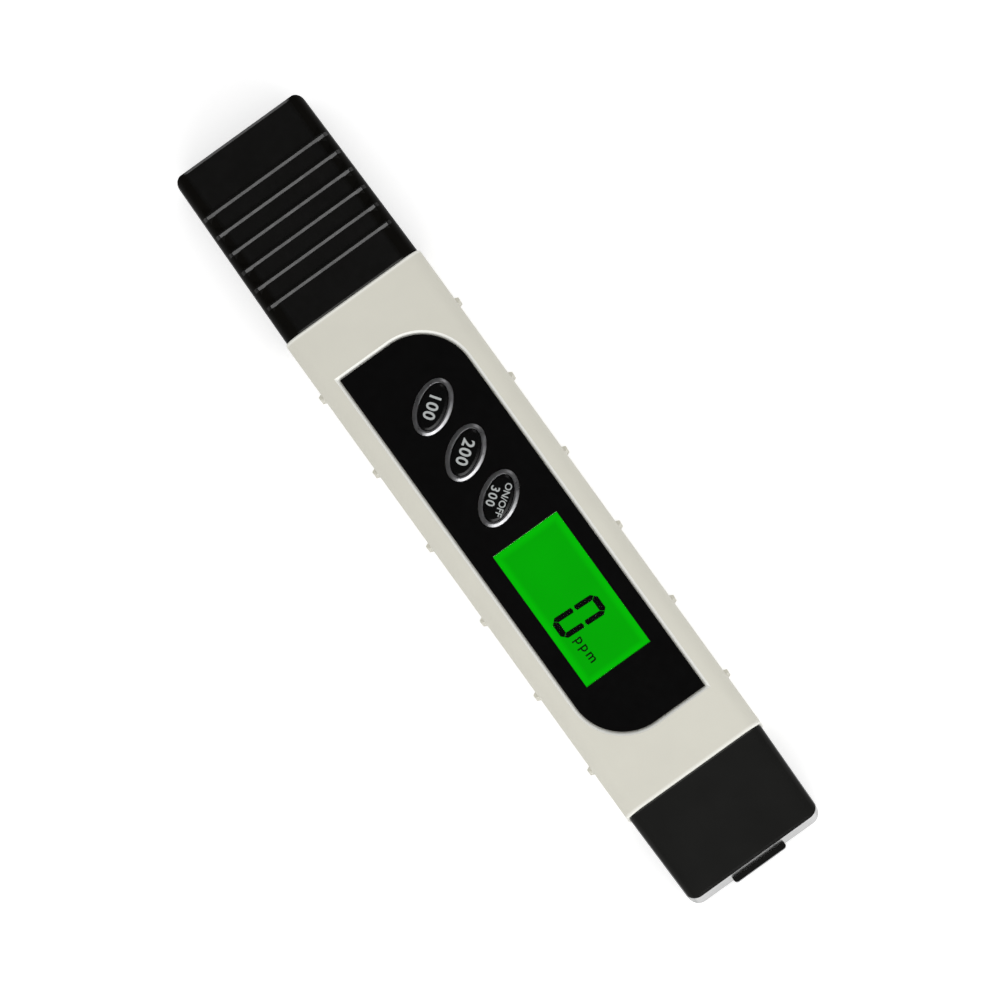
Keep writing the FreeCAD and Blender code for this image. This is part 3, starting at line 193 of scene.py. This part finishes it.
def mouldedPlastic(name, look):
    # tone drifts broadly over the moulding, the gloss varies in blotches a quarter as wide,
    # and a fine grain stands on it
    material, tree, shader = startMaterial(name)
    colour = screenColour(*look["colour"])
    drift = spreadTo(tree, blotches(tree, look["driftWidth"], detail=3), 0, 1)
    darker, paler = scaled(colour, 1 - look["drift"]), scaled(colour, 1 + look["drift"])
    tint = between(tree, drift, darker, paler)
    # painted highlight on the panel's slope and the shells' ends, where the look asks for it
    if "paintedEdgeHighlight" in look:
        tint = withPaintedHighlight(tree, tint, look["paintedEdgeHighlight"])
    tree.links.new(tint, shader.inputs["Base Color"])
    gloss = blotches(tree, look["driftWidth"] / 4, detail=4)
    low, high = look["roughness"] - look["uneven"], look["roughness"] + look["uneven"]
    tree.links.new(spreadTo(tree, gloss, low, high), shader.inputs["Roughness"])
    grain = blotches(tree, look["grainWidth"], detail=2)
    tree.links.new(bumpFrom(tree, grain, look["grainDepth"]), shader.inputs["Normal"])
    shine = look["shine"]
    if "dullSides" in look:
        shine = sideGloss(tree, shine, look["dullSides"])
    plug(tree, shader.inputs["Specular IOR Level"], shine)
    return material


# How far the streaks of a metal change its tone and its roughness
streakShares = {"dark": 0.88, "pale": 1.06, "smooth": 0.7, "rough": 1.3}


def workedMetal(name, look):
    # rolled or drawn metal: streaks along one axis in both gloss and surface
    material, tree, shader = startMaterial(name)
    colour, share = screenColour(*look["colour"]), streakShares
    streaks = blotches(tree, look["streakWidth"], 4, look["stretch"])
    tint = between(tree, spreadTo(tree, streaks, 0, 1),
                   scaled(colour, share["dark"]), scaled(colour, share["pale"]))
    tree.links.new(tint, shader.inputs["Base Color"])
    low, high = look["roughness"] * share["smooth"], look["roughness"] * share["rough"]
    tree.links.new(spreadTo(tree, streaks, low, high), shader.inputs["Roughness"])
    tree.links.new(bumpFrom(tree, streaks, look["streakDepth"]), shader.inputs["Normal"])
    shader.inputs["Metallic"].default_value = look["metal"]
    return material


# Plastics and rubber: colour as on a screen, then gloss, grain and how unevenly the tone lies
plasticLooks = {
    "housing_plastic": dict(colour=(212, 210, 198), roughness=0.55, uneven=0.06, shine=0.4,
                            drift=0.015, driftWidth=9, grainWidth=0.22, grainDepth=0.012,
                            # painted highlight: the panel's slope and the shells' ends are painted
                            # paler than the housing
                            paintedEdgeHighlight=dict(colour=(246, 246, 240), slopeZ=(13.87, 14.49),
                                             slopeAcross=11.0, slopeAlong=45, slopeBlur=0.01,
                                             ends=(50.2, 51), endBlur=0.2, endShare=0.6)),
    "cap_black": dict(colour=(14, 13, 11), roughness=0.34, uneven=0.05, shine=0.85,
                      drift=0.1, driftWidth=6, grainWidth=0.25, grainDepth=0.004,
                      dullSides=dict(shine=0.02, start=10.5, full=11.3,
                                     ribs=dict(first=6.9, pitch=3.81, count=6, margin=0.2,
                                               beside=1, slope=0.6, blur=0.06, farther=1.9))),
    "battery_cap_black": dict(colour=(29, 29, 28), roughness=0.12, uneven=0.03, shine=0.4,
                              drift=0.08, driftWidth=7, grainWidth=0.3, grainDepth=0.002,
                              dullSides=dict(shine=0.02, start=11.8, full=12.8)),
    "panel_black": dict(colour=(8, 7, 7), roughness=0.34, uneven=0.05, shine=0.35,
                        drift=0.08, driftWidth=5, grainWidth=0.2, grainDepth=0.002),
    "key_black": dict(colour=(8, 8, 8), roughness=0.28, uneven=0.04, shine=0.4,
                      drift=0.08, driftWidth=3, grainWidth=0.2, grainDepth=0.002),
    "lamp_white": dict(colour=(236, 236, 222), roughness=0.4, uneven=0.05, shine=0.5,
                       drift=0.02, driftWidth=1, grainWidth=0.1, grainDepth=0.002),
    "rubber_black": dict(colour=(34, 34, 35), roughness=0.75, uneven=0.08, shine=0.35,
                         drift=0.15, driftWidth=1.5, grainWidth=0.12, grainDepth=0.01),
    "white_plastic": dict(colour=(226, 226, 222), roughness=0.45, uneven=0.06, shine=0.45,
                          drift=0.02, driftWidth=6, grainWidth=0.2, grainDepth=0.006),
    "board_green": dict(colour=(22, 92, 52), roughness=0.35, uneven=0.08, shine=0.5,
                        drift=0.2, driftWidth=2.5, grainWidth=0.3, grainDepth=0.01),
    "chip_black": dict(colour=(38, 38, 40), roughness=0.5, uneven=0.08, shine=0.45,
                       drift=0.1, driftWidth=1.5, grainWidth=0.08, grainDepth=0.006),
    "ceramic_tan": dict(colour=(176, 150, 112), roughness=0.45, uneven=0.08, shine=0.5,
                        drift=0.1, driftWidth=0.8, grainWidth=0.08, grainDepth=0.004),
    "plunger_tan": dict(colour=(196, 178, 142), roughness=0.4, uneven=0.06, shine=0.5,
                        drift=0.04, driftWidth=1.5, grainWidth=0.12, grainDepth=0.003),
    "sensor_resin": dict(colour=(28, 26, 24), roughness=0.25, uneven=0.05, shine=0.6,
                         drift=0.12, driftWidth=1.2, grainWidth=0.3, grainDepth=0.006),
    "backlight_green": dict(colour=(120, 214, 128), roughness=0.3, uneven=0.05, shine=0.5,
                            drift=0.04, driftWidth=4, grainWidth=0.25, grainDepth=0.006),
}

# Metals: streaks run along the axis whose stretch is large
metalLooks = {
    "ring_silver": dict(colour=(200, 200, 202), roughness=0.36, metal=0.94,
                        streakWidth=1.2, stretch=(1, 1, 1), streakDepth=0.001),
    "plated_steel": dict(colour=(190, 188, 182), roughness=0.32, metal=1.0,
                         streakWidth=0.2, stretch=(1, 1, 3), streakDepth=0.004),
    "pin_steel": dict(colour=(205, 204, 200), roughness=0.2, metal=1.0,
                      streakWidth=0.12, stretch=(12, 1, 1), streakDepth=0.003),
    "cell_steel": dict(colour=(208, 208, 204), roughness=0.24, metal=1.0,
                       streakWidth=0.15, stretch=(8, 1, 1), streakDepth=0.003),
    "spring_brass": dict(colour=(206, 172, 98), roughness=0.3, metal=1.0,
                         streakWidth=0.15, stretch=(8, 1, 1), streakDepth=0.003),
}

# The lit display as it shows through the window, brighter along its rim
displayLook = {
    "field": (0, 180, 2),
    "rim": (0, 198, 2),
    "rimWidth": 1.0,
    "rimBlur": 0.45,
    "windowLip": 1.2,                               # lies behind the panel, all round the window
    "uneven": 0.03,
    "unevenWidth": 9,
}

# The clear window over it, with faint scuffs that change its roughness by a share
windowLook = {"colour": (236, 246, 238), "roughness": 0.02, "bend": 1.49, "shine": 0.25,
              "scuffs": 0.5, "scuffWidth": 3.0}


def litDisplay(name, look):
    material, tree, shader = startMaterial(name)
    low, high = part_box("display_window")
    lip = look["windowLip"] * mm
    middle = (low + high) / 2
    along, across, _ = placeParts(tree)
    insets = []
    for part, at, half in ((along, middle.x, (high.x - low.x) / 2 - lip),
                           (across, middle.y, (high.y - low.y) / 2 - lip)):
        away = combined(tree, "ABSOLUTE", combined(tree, "SUBTRACT", part, at))
        insets.append(combined(tree, "SUBTRACT", half, away))
    nearest = combined(tree, "MINIMUM", *insets)
    edge, blur = look["rimWidth"] * mm, look["rimBlur"] * mm
    field = spreadTo(tree, nearest, 0, 1, (edge - blur, edge + blur))
    glow = between(tree, field, screenColour(*look["rim"]), screenColour(*look["field"]))
    tree.links.new(glow, shader.inputs["Emission Color"])
    strength = spreadTo(tree, blotches(tree, look["unevenWidth"], detail=1),
                        1 - look["uneven"], 1 + look["uneven"])
    tree.links.new(strength, shader.inputs["Emission Strength"])
    shader.inputs["Base Color"].default_value = (0, 0, 0, 1)
    shader.inputs["Specular IOR Level"].default_value = 0
    return material


def clearWindow(name, look):
    material, tree, shader = startMaterial(name)
    shader.inputs["Base Color"].default_value = screenColour(*look["colour"])
    scuffs = blotches(tree, look["scuffWidth"], detail=4)
    smooth, rough = (look["roughness"] * share for share in (1 - look["scuffs"], 1 + look["scuffs"]))
    tree.links.new(spreadTo(tree, scuffs, smooth, rough), shader.inputs["Roughness"])
    shader.inputs["IOR"].default_value = look["bend"]
    shader.inputs["Specular IOR Level"].default_value = look["shine"]
    shader.inputs["Transmission Weight"].default_value = 1.0
    return material


finishes = {}
for slotName, plasticLook in plasticLooks.items():
    finishes[slotName] = mouldedPlastic(slotName, plasticLook)
for slotName, metalLook in metalLooks.items():
    finishes[slotName] = workedMetal(slotName, metalLook)
finishes["display_glass"] = litDisplay("display_glass", displayLook)
finishes["clear_window"] = clearWindow("clear_window", windowLook)

# Edges of the pieces are eased by this many millimetres, and by the plain width where unnamed
edgeWidths = {
    "plain": 0.08,
    "front_shell": 0.14,
    "rear_shell": 0.2,
    "face_panel": 0.06,
    "probe_cap": 0.05,
    "battery_cap": 0.16,
    "probe_nose": 0.2,
    "battery_tray": 0.15,
    "display_window": 0.04,
    "lcd_glass_front": 0.02,
}

# Edges are eased where their faces meet at more than this many degrees, and welded below this gap
edgeAngles = {"plain": 28, "probe_cap": 30.5}
weldGap = 0.0005


def easeEdges(piece, width, angle):
    # the normals that a piece comes with go, so that flat faces look flat beside eased edges
    loaded = piece.data.attributes.get("custom_normal")
    if loaded:
        piece.data.attributes.remove(loaded)
    weld = piece.modifiers.new("joinFaces", "WELD")
    weld.merge_threshold = weldGap * mm
    bevel = piece.modifiers.new("easedEdges", "BEVEL")
    bevel.width = width * mm
    bevel.segments = 2
    bevel.limit_method = "ANGLE"
    bevel.angle_limit = math.radians(angle)
    bevel.use_clamp_overlap = True
    bevel.harden_normals = True
    piece.data.polygons.foreach_set("use_smooth", [True] * len(piece.data.polygons))


slotOf = {part["node"]: part["material_slot"] for part in frame["record"]["subparts"]}
for nodeName, node in nodes.items():
    node.data.materials.clear()
    node.data.materials.append(finishes[slotOf[nodeName]])
    easeEdges(node, edgeWidths.get(nodeName, edgeWidths["plain"]),
              edgeAngles.get(nodeName, edgeAngles["plain"]))
print("finishes on", len(nodes), "pieces")

# Printed legends: plain numbers, with on and off above the one on the last key
legendLook = {
    "colour": (172, 176, 175),
    "roughness": 0.5,
    "thick": 0.012,
    "height": 2.15,
    "bold": 0.06,
    "capHeight": 0.729,                             # of the font's size
    "turn": -55.6,
    # words of each row, their share of the height, and their spacing
    "rows": {"mode_key": [("100", 1.0, 1.12)], "clear_key": [("200", 1.0, 1.12)],
             "power_key": [("ON/OFF", 0.57, 1.02), ("300", 0.74, 1.2)]},
    "rowPitch": 2.0,
}
legendBody = {"mode_key": "mode_button", "clear_key": "clear_button", "power_key": "power_button"}


inkSpeckle = {"width": 0.25, "dark": 0.9, "pale": 1.08}


def printInk(name, colour, roughness):
    material, tree, shader = startMaterial(name)
    ink = screenColour(*colour)
    speckle = spreadTo(tree, blotches(tree, inkSpeckle["width"], detail=3), 0, 1)
    tint = between(tree, speckle, scaled(ink, inkSpeckle["dark"]), scaled(ink, inkSpeckle["pale"]))
    tree.links.new(tint, shader.inputs["Base Color"])
    shader.inputs["Roughness"].default_value = roughness
    return material


def printRow(name, words, height, bold, spacing, look, ink):
    # one row of raised print, centred, its letters this high in millimetres
    curve = bpy.data.curves.new(name, "FONT")
    curve.body = words
    curve.size = height * mm / look["capHeight"]
    curve.align_x = "CENTER"
    curve.space_character = spacing
    curve.offset = bold * mm
    curve.extrude = look["thick"] * mm / 2
    curve.materials.append(ink)
    row = bpy.data.objects.new(name, curve)
    bpy.context.scene.collection.objects.link(row)
    return row


legendInk = printInk("legendInk", legendLook["colour"], legendLook["roughness"])
turn = Matrix.Rotation(math.radians(legendLook["turn"]), 4, "Z")
for keyName, rows in legendLook["rows"].items():
    low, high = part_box(keyName)
    centre = Vector(((low.x + high.x) / 2, (low.y + high.y) / 2, high.z))
    for line, (words, share, spacing) in enumerate(rows):
        name = f"{keyName}_legend_{line + 1}"
        height, bold = legendLook["height"] * share, legendLook["bold"] * share ** 2
        legend = printRow(name, words, height, bold, spacing, legendLook, legendInk)
        drop = (len(rows) - 1) / 2 - line
        offset = Vector((0, drop * legendLook["rowPitch"] * mm - height * mm / 2, 0))
        legend.matrix_world = Matrix.Translation(centre) @ turn @ Matrix.Translation(offset)
        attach(legend, legendBody[keyName])
print("legends printed")

# The digit on the display: six dark segments of a zero, slightly leaning
digitLook = {
    "colour": (0, 8, 0), "roughness": 0.6,
    "left": 15.3, "right": 19.5, "low": -5.1, "high": 4.15,
    "sideStroke": 1.0, "endStroke": 1.15,
    "gap": 0.04, "middleGap": 0.38, "cut": 0.95, "point": 0.2, "lean": 0.045,
    "thick": 0.02,
}
unitLook = {"colour": (0, 70, 0), "roughness": 0.6, "words": "ppm",
            "left": 20.1, "right": 25.4, "base": -3.5,
            "height": 1.85, "bold": 0.03, "spacing": 1.28, "capHeight": 0.729, "thick": 0.02}


def segmentOutlines(look):
    # corners of each segment, in millimetres, before the lean
    left, right, low, high = look["left"], look["right"], look["low"], look["high"]
    side, end, cut, part = look["sideStroke"], look["endStroke"], look["cut"], look["gap"] / 2
    middle = (low + high) / 2
    outlines = {}
    for name, outer, inward in (("top", high, -1), ("bottom", low, 1)):
        slant, inner = outer + inward * cut / 2, outer + inward * end
        outlines[name] = [(left + cut, outer), (right - cut, outer),
                          (right - cut / 2 - part, slant - inward * part),
                          (right - side - 2 * part, inner), (left + side + 2 * part, inner),
                          (left + cut / 2 + part, slant - inward * part)]
    for name, edge, inward in (("left", left, 1), ("right", right, -1)):
        for half, outer, down in (("upper", high, -1), ("lower", low, 1)):
            stop = middle - down * look["middleGap"] / 2
            outlines[f"{name}_{half}"] = [
                (edge, outer + down * cut),
                (edge + inward * (cut / 2 - part), outer + down * (cut / 2 + part)),
                (edge + inward * side, outer + down * (end + 2 * part)),
                (edge + inward * side, stop - down * look["point"]),
                (edge + inward * side / 2, stop), (edge, stop - down * look["point"])]
    return outlines


def flatPiece(name, outline, base, thick, material):
    # a thin slab over an outline
    mesh = bpy.data.meshes.new(name)
    shape = bmesh.new()
    corners = [shape.verts.new((x * mm, y * mm, base)) for x, y in outline]
    raised = bmesh.ops.extrude_face_region(shape, geom=[shape.faces.new(corners)])
    lifted = [part for part in raised["geom"] if isinstance(part, bmesh.types.BMVert)]
    bmesh.ops.translate(shape, verts=lifted, vec=(0, 0, thick * mm))
    bmesh.ops.recalc_face_normals(shape, faces=shape.faces)
    shape.to_mesh(mesh)
    shape.free()
    mesh.materials.append(material)
    piece = bpy.data.objects.new(name, mesh)
    bpy.context.scene.collection.objects.link(piece)
    return piece


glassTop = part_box("lcd_glass_front")[1].z
digitInk = printInk("digitInk", digitLook["colour"], digitLook["roughness"])
digitMiddle = (digitLook["low"] + digitLook["high"]) / 2
for segmentName, outline in segmentOutlines(digitLook).items():
    leaning = [(x + (y - digitMiddle) * digitLook["lean"], y) for x, y in outline]
    segment = flatPiece("digit_" + segmentName, leaning, glassTop, digitLook["thick"], digitInk)
    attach(segment, "housing")

unitInk = printInk("unitInk", unitLook["colour"], unitLook["roughness"])
unit = printRow("display_unit", unitLook["words"], unitLook["height"], unitLook["bold"],
                unitLook["spacing"], unitLook, unitInk)
unit.location = ((unitLook["left"] + unitLook["right"]) / 2 * mm, unitLook["base"] * mm, glassTop)
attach(unit, "housing")
print("display lit")

# The table that it lies on: white to the camera and in reflections, with the meter's soft shadow
floorLook = {"colour": (235, 235, 235), "roughness": 0.9, "shine": 0.1, "size": 1600,
             "speckle": 0.015, "speckleWidth": 40, "cameraGlow": 0.45, "glossGlow": 0.42}


def paleFloor(look):
    material, tree, shader = startMaterial("paleTable")
    shader.inputs["Roughness"].default_value = look["roughness"]
    shader.inputs["Specular IOR Level"].default_value = look["shine"]
    colour = screenColour(*look["colour"])
    speckle = spreadTo(tree, blotches(tree, look["speckleWidth"], detail=3), 0, 1)
    tint = between(tree, speckle, scaled(colour, 1 - look["speckle"]), colour)
    tree.links.new(tint, shader.inputs["Base Color"])
    path = tree.nodes.new("ShaderNodeLightPath")
    glow = 0
    for ray, strength in (("Is Camera Ray", look["cameraGlow"]),
                          ("Is Glossy Ray", look["glossGlow"]),
                          ("Is Transmission Ray", look["cameraGlow"])):
        part = combined(tree, "MULTIPLY", path.outputs[ray], strength)
        glow = combined(tree, "ADD", glow, part)
    tree.links.new(glow, shader.inputs["Emission Strength"])
    shader.inputs["Emission Color"].default_value = (1, 1, 1, 1)
    mesh = bpy.data.meshes.new("table")
    half = look["size"] * mm / 2
    corners = [(-half, -half, 0), (half, -half, 0), (half, half, 0), (-half, half, 0)]
    mesh.from_pydata(corners, [], [(0, 1, 2, 3)])
    mesh.materials.append(material)
    floor = bpy.data.objects.new("table", mesh)
    bpy.context.scene.collection.objects.link(floor)


paleFloor(floorLook)

# Studio light: an even room, dim where it is mirrored, a low softbox and a weaker one opposite
lightLook = {
    "room": 0.76,
    "roomMirrored": 0.03,
    "boxes": {
        "softboxLow": dict(bearing=-8, height=32, distance=700, wide=1250, high=240, power=3.3),
        "softboxBack": dict(bearing=125, height=34, distance=800, wide=300, high=200, power=0.18),
    },
}


def studioRoom(look):
    world = bpy.data.worlds.new("studio")
    bpy.context.scene.world = world
    world.use_nodes = True
    tree = world.node_tree
    room = tree.nodes["Background"]
    room.inputs["Color"].default_value = (1, 1, 1, 1)
    path = tree.nodes.new("ShaderNodeLightPath")
    level = tree.nodes.new("ShaderNodeMapRange")
    level.inputs["To Min"].default_value = look["room"]
    level.inputs["To Max"].default_value = look["roomMirrored"]
    tree.links.new(path.outputs["Is Glossy Ray"], level.inputs["Value"])
    tree.links.new(level.outputs["Result"], room.inputs["Strength"])


def addSoftbox(name, lamp, aim):
    light = bpy.data.lights.new(name, "AREA")
    light.shape = "RECTANGLE"
    light.size, light.size_y = lamp["wide"] * mm, lamp["high"] * mm
    light.energy = lamp["power"]
    bearing, height = math.radians(lamp["bearing"]), math.radians(lamp["height"])
    away = Vector((math.cos(bearing) * math.cos(height), math.sin(bearing) * math.cos(height),
                   math.sin(height)))
    holder = bpy.data.objects.new(name, light)
    holder.location = aim + away * lamp["distance"] * mm
    holder.rotation_euler = away.to_track_quat("Z", "Y").to_euler()
    bpy.context.scene.collection.objects.link(holder)


studioRoom(lightLook)
for boxName, boxLook in lightLook["boxes"].items():
    addSoftbox(boxName, boxLook, Vector((0, 0, 0)))
print("room lit")

# The camera looks nearly straight down, with the pen running from upper left to lower right
cameraLook = {
    "aim": (-6.6, 0.244, 14.5),
    "distance": 2883.1,
    "tiltToX": 6.2,
    "tiltToY": -0.25,
    "penDown": 54.04,                               # pen's long axis under the picture's right
    "lens": 600,
    "sensor": 36,
    "clipStart": 10,
}


def pointCamera(look):
    aim = Vector(look["aim"]) * mm
    back = Vector((math.sin(math.radians(look["tiltToX"])),
                   math.sin(math.radians(look["tiltToY"])), 1.0)).normalized()
    bearing = math.radians(look["penDown"])
    right = Vector((math.cos(bearing), math.sin(bearing), 0))
    right = (right - back * right.dot(back)).normalized()
    up = back.cross(right)
    turned = Matrix((right, up, back)).transposed().to_4x4()
    data = bpy.data.cameras.new("camera")
    data.lens = look["lens"]
    data.sensor_width = look["sensor"]
    data.clip_start = look["clipStart"] * mm
    camera = bpy.data.objects.new("camera", data)
    camera.matrix_world = Matrix.Translation(aim + back * look["distance"] * mm) @ turned
    bpy.context.scene.collection.objects.link(camera)
    bpy.context.scene.camera = camera


pointCamera(cameraLook)
bpy.context.scene.view_settings.view_transform = "Standard"

print("scene ready")
